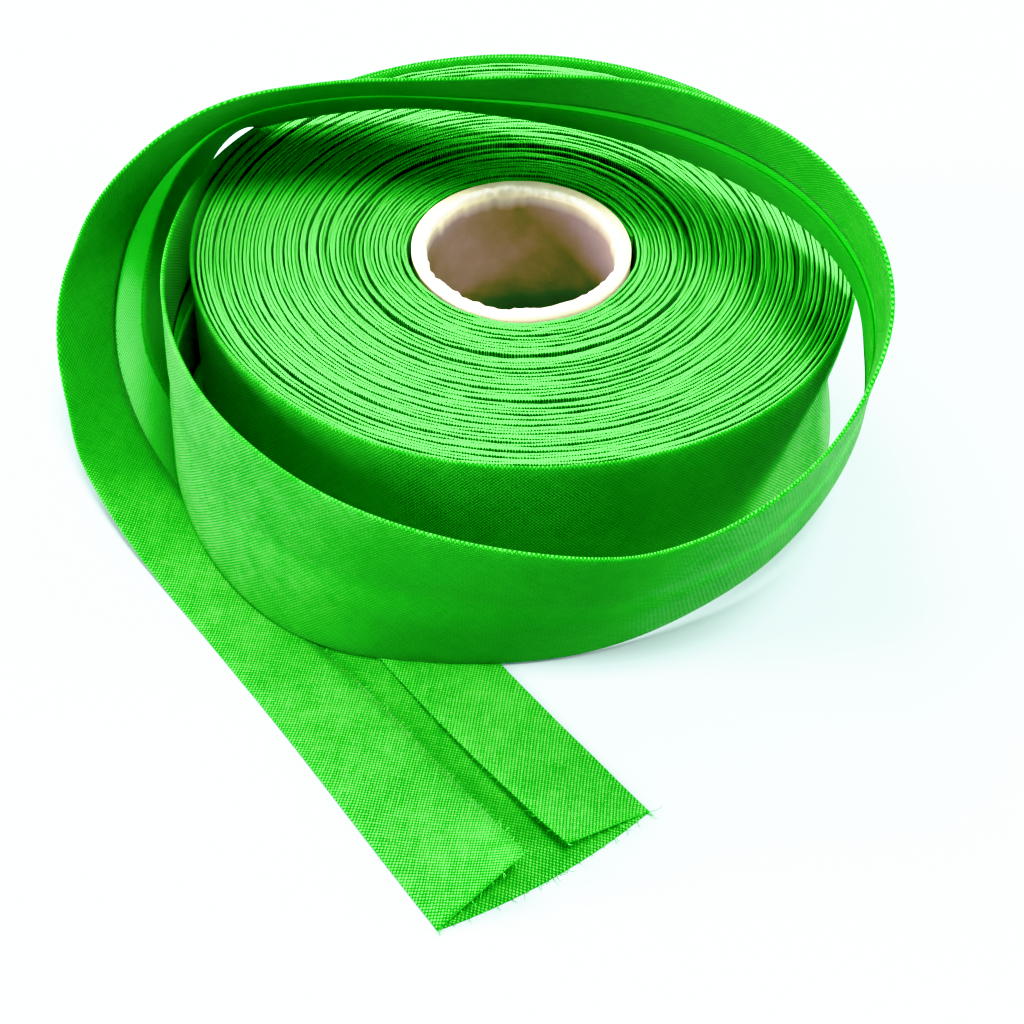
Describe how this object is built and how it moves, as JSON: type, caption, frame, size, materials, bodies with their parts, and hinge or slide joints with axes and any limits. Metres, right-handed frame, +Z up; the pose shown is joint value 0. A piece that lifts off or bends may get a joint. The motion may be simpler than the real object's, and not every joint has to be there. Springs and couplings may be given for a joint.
{
  "type": "roll of bias binding",
  "caption": "Roll of folded green cotton bias binding wound on a card core, its loose end led once round the roll and laid out flat.",
  "frame": {"origin": "bottom centre of the bounding box, on the surface that the roll stands on", "axes": "+Z up along the axis of the roll; the loose end points towards -Y and +X"},
  "size_m": [0.1138, 0.138, 0.0595],
  "materials": {
    "core_card": "raw pressed card with a torn rim",
    "binding_cloth": "matt plain-weave cotton cut on the bias"
  },
  "bodies": {
    "root": {"core": "core_card", "winding": "binding_cloth", "tape": "binding_cloth"}
  },
  "joints": []
}
